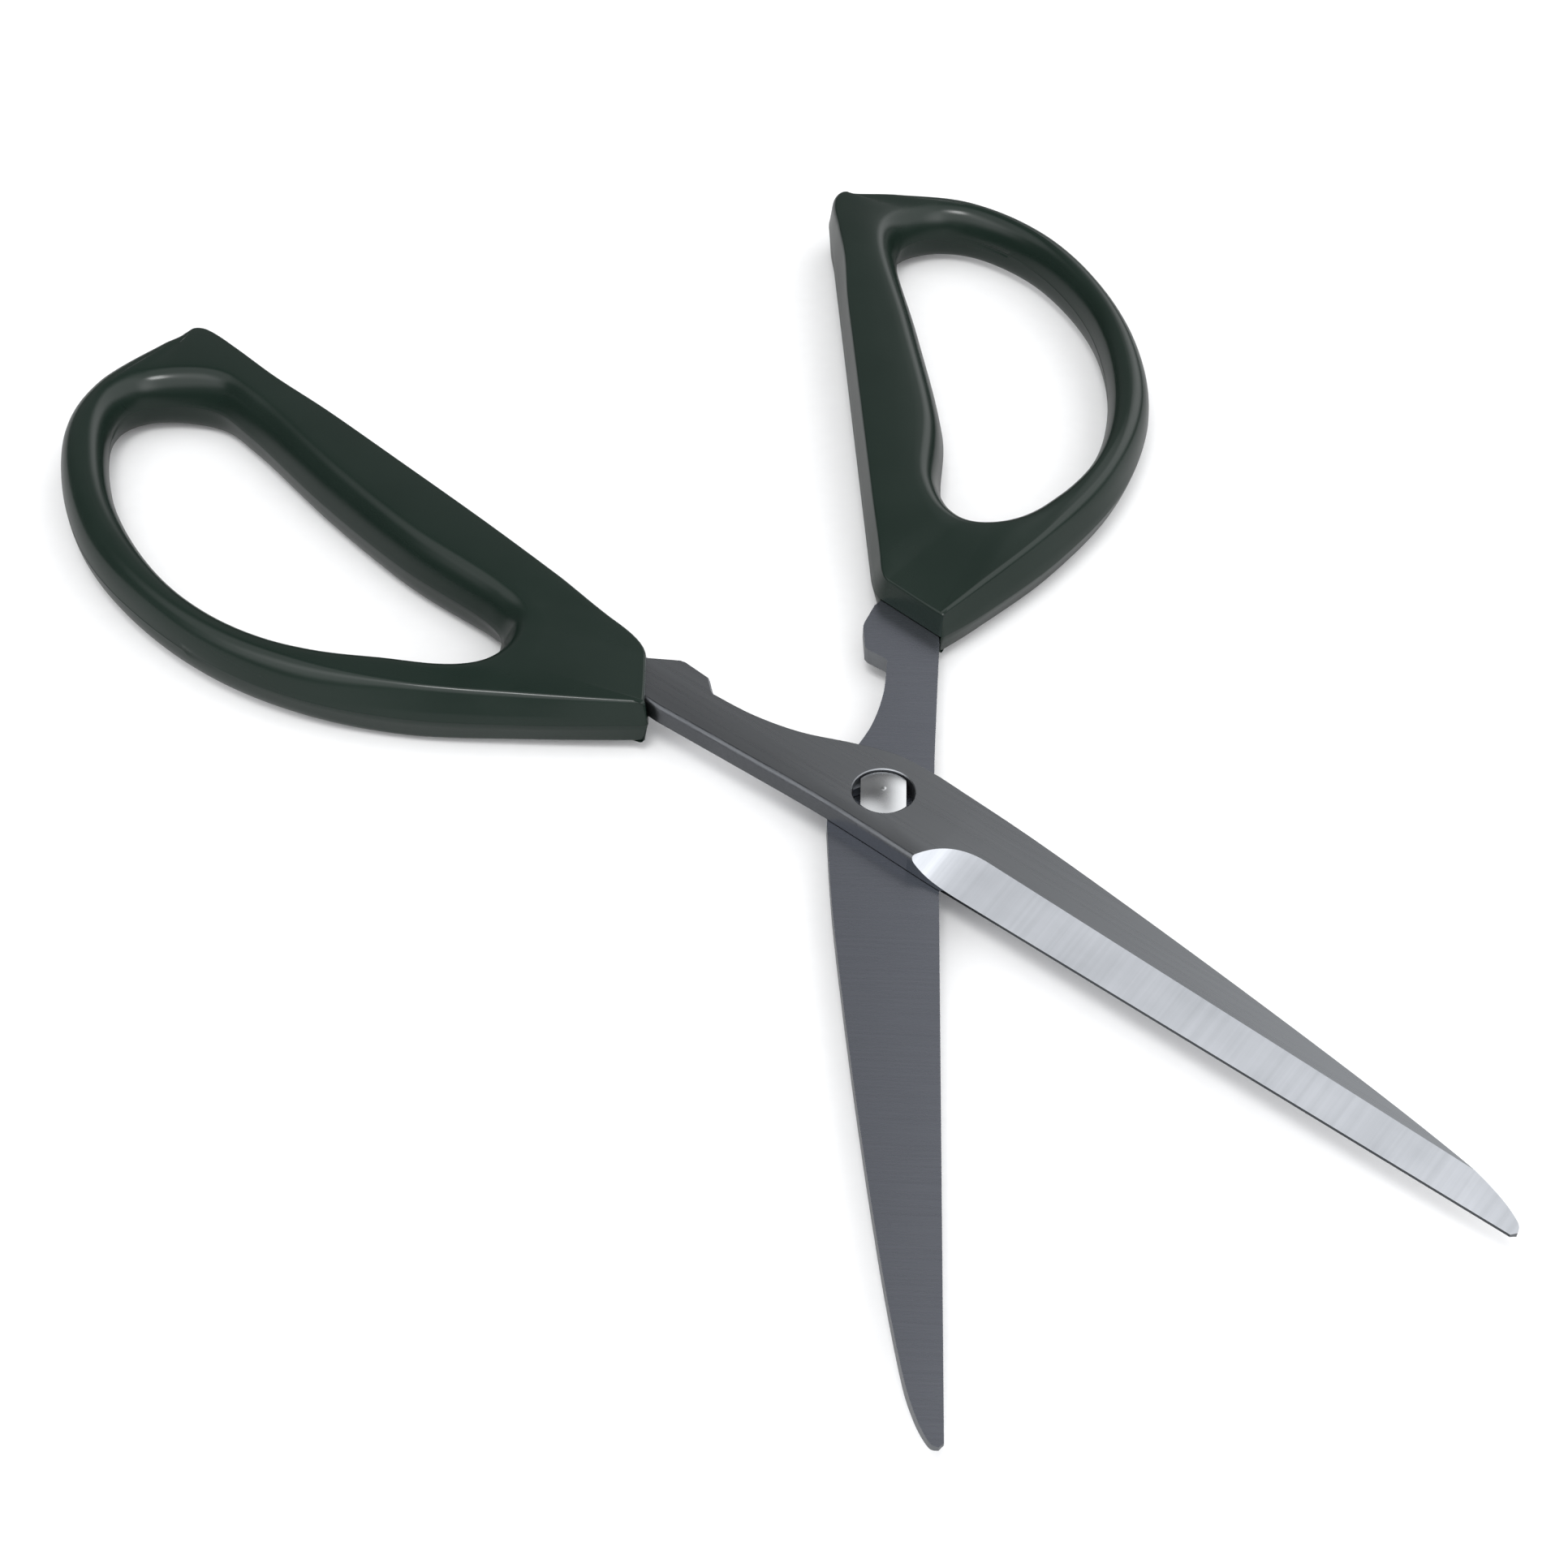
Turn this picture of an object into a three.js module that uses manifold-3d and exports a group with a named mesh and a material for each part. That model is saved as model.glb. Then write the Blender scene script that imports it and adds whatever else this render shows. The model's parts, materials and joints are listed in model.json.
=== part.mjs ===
// Fabric shears: two blades that turn on a fixed stud, each with a moulded bow.
// Millimetres, +Z up. The shears lie open. The origin is under the middle of the whole object,
// at the height that its lowest face rests on, and the pivot axis is parallel to Z.
import * as THREE from 'three';
import { mergeVertices } from 'three/addons/utils/BufferGeometryUtils.js';
import Module from 'manifold-3d';

const wasm = await Module();
wasm.setup();

// ---- driving dimensions -------------------------------------------------------------------
const REAR_HEADING = -90;          // degrees: where the rear blade points, seen from above
const OPENING = 51.4;              // degrees between the blades as they lie
const LIFT_OFF_OPENING = 110;      // degrees between the blades where the stud passes its slot

const STOCK = 2.8;                 // blade thickness at the pivot
const SHEAR_GAP = 0.05;            // half the clearance between the two flat shear faces
const EDGE_Y = -7.6;               // the cutting edge's distance from the pivot line
const TIP_X = 104;                 // pivot to tip
const ARRIS = 0.45;                // chamfer on the outer face's rim
const TAPER_START = 12;            // the outer face thins from here to the tip
const TIP_STOCK = 2.0;             // blade thickness at the tip
const GRIND_WIDTH = 6.1;           // width of the ground bevel at its start
const GRIND_LAND = 0.45;           // what is left of the edge's side wall below the bevel

const FIT = 0.3;                   // clearance round a tang in its handle
const TONGUE_END = -72;            // how far the tang reaches into the handle
const KEY_HOLES = [[-52, -3.6], [-64, -2.4]];
const KEY_HOLE_RADIUS = 1.9;       // hole in the tang that a plug of the moulding fills
const KEY_RADIUS = 1.55;

const HANDLE_HALF = 6;             // half the handle's height along the bar
const HANDLE_NOSE_HALF = 4.0;      // the same at the end that the tang leaves
const HANDLE_HEEL_HALF = 5.4;      // the same at the far end of the bow
const HANDLE_ROUND = 2.4;          // how far down the side the rounding starts
const HANDLE_INSET = 1.5;          // how far the top face is inside the widest section

const BORE_RADIUS = 4.3;           // counterbore in the front blade, open to its outer face
const LEDGE = 1.4;                 // steel left under the counterbore
const HEAD_RADIUS = 4.15;
const HEAD_HALF_FLATS = 3.1;       // half the distance across the head's two flats
const SLOT_HALF_FLATS = 3.35;
const NECK_RADIUS = 3.0;
const SHANK_RADIUS = 2.2;
const SHANK_HOLE_RADIUS = 2.45;
const WASHER = { inner: 2.5, outer: 5.0, height: 0.6 };
const PEEN = { radius: 3.6, height: 0.8 };

// ---- materials ----------------------------------------------------------------------------
const steel = () => new THREE.MeshStandardMaterial({ color: 0x8d9094, roughness: 0.38, metalness: 1 });
const turnedSteel = () => new THREE.MeshStandardMaterial({ color: 0xc9cbcd, roughness: 0.22, metalness: 1 });
const moulding = () => new THREE.MeshStandardMaterial({ color: 0x1d2a25, roughness: 0.32, metalness: 0 });

// ---- solids -------------------------------------------------------------------------------
const radians = THREE.MathUtils.degToRad;

/** Turns a closed geometry into a manifold solid. */
function solid(geometry) {
  const bare = geometry.clone();
  bare.deleteAttribute('normal');
  bare.deleteAttribute('uv');
  const merged = mergeVertices(bare, 1e-4);
  return new wasm.Manifold(new wasm.Mesh({
    numProp: 3,
    vertProperties: new Float32Array(merged.attributes.position.array),
    triVerts: new Uint32Array(merged.index.array),
  }));
}

/** Turns a manifold solid back into a geometry. */
function geometryOf(manifold) {
  const mesh = manifold.getMesh();
  const geometry = new THREE.BufferGeometry();
  geometry.setAttribute('position', new THREE.BufferAttribute(mesh.vertProperties, 3));
  geometry.setIndex(new THREE.BufferAttribute(mesh.triVerts, 1));
  geometry.computeVertexNormals();
  return geometry;
}

/** A plate of the shape from z = low to z = high. */
function plate(shape, low, high, curveSegments = 4) {
  const geometry = new THREE.ExtrudeGeometry(shape, { depth: high - low, bevelEnabled: false, curveSegments });
  return geometry.translate(0, 0, low);
}

/** A plain round plug along Z. */
function plug(x, y, radius, low, high, sides = 24) {
  const geometry = new THREE.CylinderGeometry(radius, radius, high - low, sides);
  return geometry.rotateX(Math.PI / 2).translate(x, y, (low + high) / 2);
}

/** A straight prism: a profile in X and Z, drawn across Y from one side to the other. */
function prismAcross(profile, fromY, toY, curveSegments = 8) {
  const geometry = new THREE.ExtrudeGeometry(profile, { depth: toY - fromY, bevelEnabled: false, curveSegments });
  return geometry.rotateX(Math.PI / 2).translate(0, toY, 0);
}

const vectors = (pairs) => pairs.map(([x, y]) => new THREE.Vector2(x, y));

// ---- blade --------------------------------------------------------------------------------
/**
 * Outline of a blade and its tang, seen on the outer face: tip along +X, cutting edge towards -Y.
 * The tang's tongue, from x = -42 on, is the part that the handle is moulded round.
 */
function bladeOutline() {
  const shape = new THREE.Shape();
  shape.moveTo(TIP_X - 0.6, EDGE_Y);
  shape.lineTo(TIP_X, EDGE_Y + 0.6);
  shape.splineThru(vectors([[103.2, -5.8], [99, -4.1], [92, -2.5], [76, 0], [50, 3.3], [22, 6.3], [4, 7.5]]));
  shape.splineThru(vectors([[-3, 7.1], [-9, 4.9], [-16, 1.7], [-23, 0], [-30, -0.5]]));
  shape.lineTo(-32.2, 1.9);
  shape.lineTo(-37.7, 2.2);
  shape.lineTo(-42, -1);
  shape.lineTo(TONGUE_END + 1.5, 0.8);
  shape.quadraticCurveTo(TONGUE_END, 0.8, TONGUE_END, -0.7);
  shape.lineTo(TONGUE_END, -3);
  shape.quadraticCurveTo(TONGUE_END, -4.5, TONGUE_END + 1.5, -4.5);
  shape.lineTo(-50, -7.4);
  shape.lineTo(-34, -8);
  shape.splineThru(vectors([[-20, -7.5], [-4, -7.1], [14, EDGE_Y]]));
  return shape;
}

/** Removes the steel above the outer face, which thins evenly towards the tip. */
function taperCutter() {
  const profile = new THREE.Shape(vectors([
    [TAPER_START, STOCK],
    [TIP_X + 2, TIP_STOCK],
    [TIP_X + 2, STOCK + 2],
    [TAPER_START, STOCK + 2],
  ]));
  return prismAcross(profile, -20, 20);
}

/** Removes the steel above the ground bevel; a round wheel leaves the curved run-out at its start. */
function grindCutter() {
  const drop = STOCK - 0.1 - GRIND_LAND;
  const tilt = Math.atan2(drop, GRIND_WIDTH);
  const profile = new THREE.Shape();
  profile.moveTo(TIP_X + 4, 0);
  profile.lineTo(TIP_X + 4, 6);
  profile.lineTo(8.6, 6);
  profile.lineTo(10.2, 2.7);
  profile.bezierCurveTo(11, 1.1, 13.5, 0, 19, 0);
  const geometry = prismAcross(profile, -GRIND_WIDTH, GRIND_WIDTH * 2, 12);
  return geometry.rotateX(tilt).translate(0, EDGE_Y + GRIND_WIDTH, GRIND_LAND + drop);
}

/** A round bore cut across by two flats, as a plate from z = low to z = high. */
function doubleD(radius, halfFlats, heading, low, high) {
  const half = Math.asin(halfFlats / radius);
  const shape = new THREE.Shape();
  shape.absarc(0, 0, radius, -half, half, false);
  shape.absarc(0, 0, radius, Math.PI - half, Math.PI + half, false);
  return plate(shape, low, high, 10).rotateZ(radians(heading));
}

/** One blade with its tang: shear face at z = 0, outer face at z = STOCK. */
function bladeBlank() {
  const geometry = new THREE.ExtrudeGeometry(bladeOutline(), {
    depth: STOCK,
    bevelThickness: ARRIS,
    bevelSize: ARRIS,
    bevelOffset: -ARRIS,
    bevelSegments: 1,
    curveSegments: 5,
  }).translate(0, 0, -ARRIS);
  const belowShearFace = new THREE.BoxGeometry(300, 60, 4).translate(0, 0, -2);
  let blade = solid(geometry).subtract(solid(belowShearFace));
  blade = blade.subtract(solid(taperCutter())).subtract(solid(grindCutter()));
  for (const [x, y] of KEY_HOLES) {
    blade = blade.subtract(solid(plug(x, y, KEY_HOLE_RADIUS, -1, STOCK + 1)));
  }
  return blade;
}

/** The front blade turns round the stud's neck and is held under the stud's head. */
function frontBlade() {
  const slotHeading = -LIFT_OFF_OPENING;
  const slot = doubleD(BORE_RADIUS, SLOT_HALF_FLATS, slotHeading, -1, STOCK);
  const blade = bladeBlank()
    .subtract(solid(plug(0, 0, BORE_RADIUS, LEDGE, STOCK + 1, 48)))
    .subtract(solid(slot));
  return new THREE.Mesh(geometryOf(blade), steel());
}

/** The rear blade carries the stud, so it has only the shank's round hole. */
function rearBlade() {
  const blade = bladeBlank().subtract(solid(plug(0, 0, SHANK_HOLE_RADIUS, -1, STOCK + 1, 32)));
  return new THREE.Mesh(geometryOf(blade), steel());
}

// ---- handles ------------------------------------------------------------------------------
/** Outer edge and bow opening of the finger handle at its widest section, blade frame. */
function fingerOutline() {
  const shape = new THREE.Shape();
  shape.moveTo(-35.3, -10.2);
  shape.splineThru(vectors([
    [-46.8, -20.5], [-61.2, -31.6], [-76.6, -38.9], [-93.7, -41.6], [-113.2, -39.5],
    [-128.4, -33.3], [-142, -22.6], [-148.1, -11], [-148, 2],
  ]));
  shape.lineTo(-147.6, 6.5);
  shape.quadraticCurveTo(-147, 10, -143, 9.9);
  shape.lineTo(-50, 2.3);
  shape.quadraticCurveTo(-45, 1.9, -42.6, -1);
  shape.closePath();
  const hole = new THREE.Path();
  hole.moveTo(-66.5, -8.6);
  hole.splineThru(vectors([
    [-84, -8.2], [-103.4, -5.6], [-123.4, -1.6], [-133, -1.4], [-140.6, -8.4], [-137.6, -17],
    [-122.8, -28.4], [-102.6, -35.4], [-84.3, -34.2], [-67.4, -25.4], [-59.8, -17.6], [-60.2, -11],
  ]));
  hole.closePath();
  shape.holes.push(hole);
  return shape;
}

/** Outer edge and bow opening of the thumb handle at its widest section, blade frame. */
function thumbOutline() {
  const shape = new THREE.Shape();
  shape.moveTo(-35.4, 8.6);
  shape.lineTo(-42.6, 0.8);
  shape.quadraticCurveTo(-44.6, -1.6, -48, -2);
  shape.lineTo(-139, -9.5);
  shape.quadraticCurveTo(-143.4, -9.9, -144.2, -6);
  shape.splineThru(vectors([
    [-144.4, 2], [-142.9, 14.6], [-134.6, 26], [-121.5, 34.6], [-105.2, 40.1], [-88, 40.9],
    [-70, 35.8], [-54.4, 26.3], [-41.6, 15.2],
  ]));
  shape.closePath();
  const hole = new THREE.Path();
  hole.moveTo(-66.4, 8.6);
  hole.splineThru(vectors([
    [-59.6, 13.4], [-62.4, 22.4], [-74, 31], [-92.4, 34.8], [-112, 32.6], [-128, 24.6],
    [-136.4, 13.4], [-135, 4.4], [-127.4, 1.6], [-105.2, 5.4], [-82.5, 8.8],
  ]));
  hole.closePath();
  shape.holes.push(hole);
  return shape;
}

/** Side view that every handle keeps within: low at the nose, flat along the bar. */
function handleSideProfile() {
  const profile = new THREE.Shape();
  for (const side of [1, -1]) {
    const rise = [
      [-30, HANDLE_NOSE_HALF - 0.5], [-38, HANDLE_NOSE_HALF], [-56, 5.2], [-78, HANDLE_HALF],
      [-126, HANDLE_HALF], [-150, HANDLE_HEEL_HALF],
    ];
    const run = side > 0 ? rise : rise.reverse();
    run.forEach(([x, z], i) => {
      if (side > 0 && i === 0) profile.moveTo(x, z);
      else profile.lineTo(x, side * z);
    });
  }
  profile.closePath();
  return profile;
}

/** The room that a tang and its fit take up in a handle, with the moulding's two plugs left in it. */
function tangSlot() {
  const low = SHEAR_GAP - FIT;
  const high = SHEAR_GAP + STOCK + FIT;
  const shape = new THREE.Shape(vectors([
    [-30, 3.2], [-37.6, 2.6], [-42.2, -0.62], [TONGUE_END - FIT, 1.15], [TONGUE_END - FIT, -4.9],
    [-50, -7.75], [-30, -8.6],
  ]));
  let slot = solid(plate(shape, low, high));
  for (const [x, y] of KEY_HOLES) {
    slot = slot.subtract(solid(plug(x, y, KEY_RADIUS, low - 1, high + 1)));
  }
  return geometryOf(slot);
}

/** A handle moulded round its tang; a turned tang belongs to the blade that lies outer face down. */
function handle(outline, turned) {
  const body = new THREE.ExtrudeGeometry(outline, {
    depth: 2 * (HANDLE_HALF - HANDLE_ROUND),
    bevelThickness: HANDLE_ROUND,
    bevelSize: HANDLE_INSET,
    bevelOffset: -HANDLE_INSET,
    bevelSegments: 2,
    curveSegments: 4,
  }).translate(0, 0, HANDLE_ROUND - HANDLE_HALF);
  const slot = tangSlot();
  if (turned) slot.rotateX(Math.PI);
  const shell = solid(body).intersect(solid(prismAcross(handleSideProfile(), -60, 60)));
  return new THREE.Mesh(geometryOf(shell.subtract(solid(slot))), moulding());
}

// ---- pivot --------------------------------------------------------------------------------
/** The turned stud: peened tail, shank in the rear blade, neck in the front blade, two-flat head. */
function pivotStud() {
  const back = -STOCK - SHEAR_GAP;
  const tail = back - 0.1 - WASHER.height - 0.1;
  const headBase = SHEAR_GAP + LEDGE + 0.1;
  const headRim = STOCK + SHEAR_GAP;
  const profile = vectors([
    [0, tail - PEEN.height], [PEEN.radius * 0.6, tail - PEEN.height], [PEEN.radius, tail - 0.3],
    [PEEN.radius, tail], [SHANK_RADIUS, tail], [SHANK_RADIUS, SHEAR_GAP], [NECK_RADIUS, SHEAR_GAP],
    [NECK_RADIUS, headBase], [HEAD_RADIUS, headBase], [HEAD_RADIUS, headRim],
    [3.4, headRim + 0.25], [0.5, headRim + 0.35], [0, headRim + 0.5],
  ]);
  const lathe = new THREE.LatheGeometry(profile, 48).rotateX(Math.PI / 2);
  const flats = doubleD(HEAD_RADIUS + 1, HEAD_HALF_FLATS, 0, headBase - 0.05, headRim + 2);
  const belowHead = plug(0, 0, HEAD_RADIUS + 1, tail - 2, headBase - 0.02, 32);
  const keep = solid(flats).add(solid(belowHead));
  return new THREE.Mesh(geometryOf(solid(lathe).intersect(keep)), turnedSteel());
}

/** The plain washer that the stud's tail is peened over. */
function pivotWasher() {
  const top = -STOCK - SHEAR_GAP - 0.1;
  const profile = vectors([
    [WASHER.inner, top - WASHER.height], [WASHER.outer, top - WASHER.height],
    [WASHER.outer, top], [WASHER.inner, top], [WASHER.inner, top - WASHER.height],
  ]);
  const geometry = new THREE.LatheGeometry(profile, 36).rotateX(Math.PI / 2);
  return new THREE.Mesh(geometry, turnedSteel());
}

// ---- assembly -----------------------------------------------------------------------------
/** Names a mesh, places it and returns it. */
function named(name, mesh, z = 0) {
  mesh.name = name;
  mesh.position.z = z;
  return mesh;
}

/** Front half: outer face up, blade above the shear plane. */
function frontHalf() {
  const half = new THREE.Group();
  half.rotation.z = radians(REAR_HEADING + OPENING);
  half.add(named('front_blade', frontBlade(), SHEAR_GAP));
  half.add(named('finger_handle', handle(fingerOutline(), false)));
  return half;
}

/** Rear half: the same blade turned over about its own length, with the stud fixed in it. */
function rearHalf() {
  const half = new THREE.Group();
  half.rotation.z = radians(REAR_HEADING);
  const blade = named('rear_blade', rearBlade(), -SHEAR_GAP);
  blade.rotation.x = Math.PI;
  half.add(blade);
  half.add(named('thumb_handle', handle(thumbOutline(), true)));
  half.add(named('pivot_stud', pivotStud()));
  half.add(named('pivot_washer', pivotWasher()));
  return half;
}

const shears = new THREE.Group();
shears.add(frontHalf(), rearHalf());

// The origin goes under the middle of the whole object, level with its lowest face.
shears.updateMatrixWorld(true);
const box = new THREE.Box3().setFromObject(shears, true);
const middle = box.getCenter(new THREE.Vector3());
shears.position.set(-middle.x, -middle.y, -box.min.z);

const group = new THREE.Group();
group.add(shears);

export default group;
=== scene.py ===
"""Fabric shears: two satin steel blades on a turned stud, with dark green moulded bows.

Every piece is built in metres in the frame of its own blade (tip along +X, shear plane at
z = 0) and is then placed on the pivot at that blade's heading.
"""

import json
import logging
import math
from dataclasses import dataclass
from enum import Enum

import bmesh
import bpy
import numpy as np
from mathutils import Matrix, Vector


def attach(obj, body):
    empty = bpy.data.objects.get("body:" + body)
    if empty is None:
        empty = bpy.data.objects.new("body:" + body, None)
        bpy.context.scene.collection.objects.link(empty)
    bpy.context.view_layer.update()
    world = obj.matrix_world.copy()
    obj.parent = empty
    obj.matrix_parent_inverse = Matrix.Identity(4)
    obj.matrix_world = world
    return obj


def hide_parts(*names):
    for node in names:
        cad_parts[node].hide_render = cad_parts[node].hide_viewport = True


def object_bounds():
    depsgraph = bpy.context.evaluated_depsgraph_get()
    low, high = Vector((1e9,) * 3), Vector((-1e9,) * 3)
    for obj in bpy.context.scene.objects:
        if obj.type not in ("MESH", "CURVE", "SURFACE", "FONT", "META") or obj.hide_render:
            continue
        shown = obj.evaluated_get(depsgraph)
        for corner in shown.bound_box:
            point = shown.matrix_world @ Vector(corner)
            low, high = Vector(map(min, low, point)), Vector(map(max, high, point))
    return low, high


LOG = logging.getLogger("shears")
MM = 0.001
OWN_FRAME = "blade_frame"

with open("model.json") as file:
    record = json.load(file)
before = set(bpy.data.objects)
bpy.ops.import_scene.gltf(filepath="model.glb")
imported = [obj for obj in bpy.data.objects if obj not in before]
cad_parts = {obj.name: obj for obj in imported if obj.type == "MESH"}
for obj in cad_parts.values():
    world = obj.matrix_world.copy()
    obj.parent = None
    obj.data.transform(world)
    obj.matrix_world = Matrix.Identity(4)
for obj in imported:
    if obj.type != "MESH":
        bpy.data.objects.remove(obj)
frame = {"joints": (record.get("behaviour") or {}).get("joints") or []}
cad_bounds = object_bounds()


# ---- plane curves ---------------------------------------------------------------------------
def spline(points: list, steps: int) -> np.ndarray:
    """Runs a smooth curve through points, held at both ends.

    Args:
        points: places in the plane, in order.
        steps: samples from one point to the next.

    Returns:
        The samples, without the last point.
    """
    p = np.array(points, float)
    p = np.vstack([p[:1], p, p[-1:]])
    rows = [blend_four(p[i], p[i + 1], p[i + 2], p[i + 3], k / steps)
            for i in range(len(p) - 3) for k in range(steps)]
    return np.array(rows)


def ring_spline(rows: np.ndarray, steps: int) -> np.ndarray:
    """Runs a smooth closed curve through rows of any length.

    Args:
        rows: one row of values at each station.
        steps: samples from one station to the next.

    Returns:
        The samples all the way round.
    """
    n = len(rows)
    out = [blend_four(rows[i - 1], rows[i], rows[(i + 1) % n], rows[(i + 2) % n], k / steps)
           for i in range(n) for k in range(steps)]
    return np.array(out)


def blend_four(a: np.ndarray, b: np.ndarray, c: np.ndarray, d: np.ndarray, t: float) -> np.ndarray:
    """Returns the Catmull-Rom value between b and c at t."""
    return b + 0.5 * t * (c - a + t * (2 * a - 5 * b + 4 * c - d + t * (3 * (b - c) + d - a)))


def inset_loop(loop: np.ndarray, distance: np.ndarray) -> np.ndarray:
    """Moves an anticlockwise loop inward, with mitred corners.

    Args:
        loop: corners of the loop.
        distance: how far in, at each corner.

    Returns:
        The corners of the smaller loop.
    """
    before = loop - np.roll(loop, 1, axis=0)
    after = np.roll(loop, -1, axis=0) - loop
    before /= np.linalg.norm(before, axis=1)[:, None]
    after /= np.linalg.norm(after, axis=1)[:, None]
    middle = before + after
    middle /= np.linalg.norm(middle, axis=1)[:, None]
    normal = np.column_stack([-middle[:, 1], middle[:, 0]])
    spread = np.clip((middle * after).sum(axis=1), 0.5, 1.0)
    return loop + normal * (distance / spread)[:, None]


def soften(curve: np.ndarray, corner: int, reach: float) -> np.ndarray:
    """Rounds one corner of a closed curve and keeps its number of samples.

    Args:
        curve: samples all the way round.
        corner: index of the corner's sample.
        reach: distance from the corner at which the rounding starts.

    Returns:
        The rounded curve.
    """
    n = len(curve)
    rolled = np.roll(curve, n // 2 - corner, axis=0)
    steps = np.linalg.norm(np.diff(rolled, axis=0), axis=1)
    along = np.concatenate([[0], np.cumsum(steps)])
    along -= along[n // 2]
    start = np.array([np.interp(-reach, along, rolled[:, k]) for k in range(2)])
    end = np.array([np.interp(reach, along, rolled[:, k]) for k in range(2)])
    middle = rolled[n // 2].copy()
    for i in np.flatnonzero(np.abs(along) < reach):
        t = (along[i] + reach) / (2 * reach)
        rolled[i] = (1 - t) ** 2 * start + 2 * t * (1 - t) * middle + t * t * end
    return np.roll(rolled, corner - n // 2, axis=0)


# ---- meshes -----------------------------------------------------------------------------------
def new_object(name: str, bm: bmesh.types.BMesh) -> bpy.types.Object:
    """Makes a linked object from a bmesh and frees the bmesh.

    Args:
        name: name of the object and its mesh.
        bm: the faces, whose normals are turned outward.

    Returns:
        The object.
    """
    bmesh.ops.recalc_face_normals(bm, faces=bm.faces)
    mesh = bpy.data.meshes.new(name)
    bm.to_mesh(mesh)
    bm.free()
    obj = bpy.data.objects.new(name, mesh)
    bpy.context.scene.collection.objects.link(obj)
    return obj


def stack(name: str, loops: list) -> bpy.types.Object:
    """Closes a stack of level loops into a solid.

    Args:
        name: name of the object.
        loops: pairs of a plane loop and its height, from the bottom up.

    Returns:
        The solid, with one flat face at each end.
    """
    bm = bmesh.new()
    rings = [[bm.verts.new((x, y, z)) for x, y in loop] for loop, z in loops]
    for low, high in zip(rings, rings[1:]):
        for i in range(len(low)):
            j = (i + 1) % len(low)
            bm.faces.new((low[i], low[j], high[j], high[i]))
    bm.faces.new(rings[0][::-1])
    bm.faces.new(rings[-1])
    return new_object(name, bm)


def prism(name: str, profile: list, low_y: float, high_y: float) -> bpy.types.Object:
    """Draws a profile in X and Z across Y.

    Args:
        name: name of the object.
        profile: corners of the profile, in order.
        low_y: where the prism starts.
        high_y: where it ends.

    Returns:
        The closed prism.
    """
    bm = bmesh.new()
    sides = [[bm.verts.new((x, y, z)) for x, z in profile] for y in (low_y, high_y)]
    for i in range(len(profile)):
        j = (i + 1) % len(profile)
        bm.faces.new((sides[0][i], sides[0][j], sides[1][j], sides[1][i]))
    bm.faces.new(sides[0])
    bm.faces.new(sides[1])
    return new_object(name, bm)


def lathe(name: str, profile: list, sides: int, closed: bool = False) -> bpy.types.Object:
    """Turns a profile about Z.

    Args:
        name: name of the object.
        profile: pairs of radius and height; a radius of 0 is a point on the axis.
        sides: number of facets round.
        closed: whether the profile runs back to its first point, as a ring's does.

    Returns:
        The turned solid.
    """
    bm = bmesh.new()
    angles = [2 * math.pi * k / sides for k in range(sides)]
    rings = []
    for r, z in profile:
        if r == 0:
            rings.append([bm.verts.new((0, 0, z))] * sides)
        else:
            rings.append([bm.verts.new((r * math.cos(a), r * math.sin(a), z)) for a in angles])
    pairs = list(zip(rings, rings[1:])) + ([(rings[-1], rings[0])] if closed else [])
    for low, high in pairs:
        for i in range(sides):
            j = (i + 1) % sides
            corners = []
            for v in (low[i], low[j], high[j], high[i]):
                if v not in corners:
                    corners.append(v)
            bm.faces.new(corners)
    return new_object(name, bm)


def round_tool(radius: float, low: float, high: float, sides: int) -> bpy.types.Object:
    """Returns a plain round solid on the pivot axis."""
    return lathe("round_tool", [(0, low), (radius, low), (radius, high), (0, high)], sides)


def box_tool(low: tuple, high: tuple) -> bpy.types.Object:
    """Returns a plain block between two corners."""
    loop = np.array([(low[0], low[1]), (high[0], low[1]), (high[0], high[1]), (low[0], high[1])])
    return stack("box_tool", [(loop, low[2]), (loop, high[2])])


def combine(target: bpy.types.Object, tool: bpy.types.Object, operation: str = "DIFFERENCE") -> None:
    """Works a tool into a target and throws the tool away.

    Args:
        target: the solid that is changed.
        tool: the solid that cuts it, joins it or bounds it.
        operation: DIFFERENCE, UNION or INTERSECT.
    """
    mod = target.modifiers.new("combine", "BOOLEAN")
    mod.operation = operation
    mod.solver = "EXACT"
    mod.object = tool
    apply_modifiers(target)
    bpy.data.objects.remove(tool)


def apply_modifiers(obj: bpy.types.Object) -> None:
    """Writes an object's modifiers into its mesh.

    Args:
        obj: the object, which is left with no modifiers.
    """
    bpy.context.view_layer.update()
    evaluated = obj.evaluated_get(bpy.context.evaluated_depsgraph_get())
    mesh = bpy.data.meshes.new_from_object(evaluated)
    obj.modifiers.clear()
    obj.data = mesh


def keep_own_frame(obj: bpy.types.Object) -> None:
    """Stores each point's place as it is now, for the finishes to read once the piece is placed.

    Args:
        obj: the piece, still in its own frame.
    """
    places = np.empty(3 * len(obj.data.vertices), np.float32)
    obj.data.vertices.foreach_get("co", places)
    own = obj.data.attributes.new(OWN_FRAME, "FLOAT_VECTOR", "POINT")
    own.data.foreach_set("vector", places)


def shade(obj: bpy.types.Object, angle_deg: float) -> None:
    """Shades an object smooth, with hard edges above an angle."""
    obj.data.shade_smooth()
    obj.data.set_sharp_from_angle(angle=math.radians(angle_deg))


# ---- finishes ---------------------------------------------------------------------------------
class Surface(Enum):
    """The surfaces of the shears that have a finish of their own; the tang's lower side has a darker steel
    that is painted shade.
    """

    FACE = "outer face"
    GRIND = "ground bevel"
    LAND = "land under the bevel"
    WALL = "stamped side"
    RIDE = "flat shear face"
    # the tang's lower side: its darker steel is painted shade for a wall in shadow
    SHADED_TANG_SIDE = "lower side of the tang"
    TURNED = "stud and washer"
    MOULDING = "handle"


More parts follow.
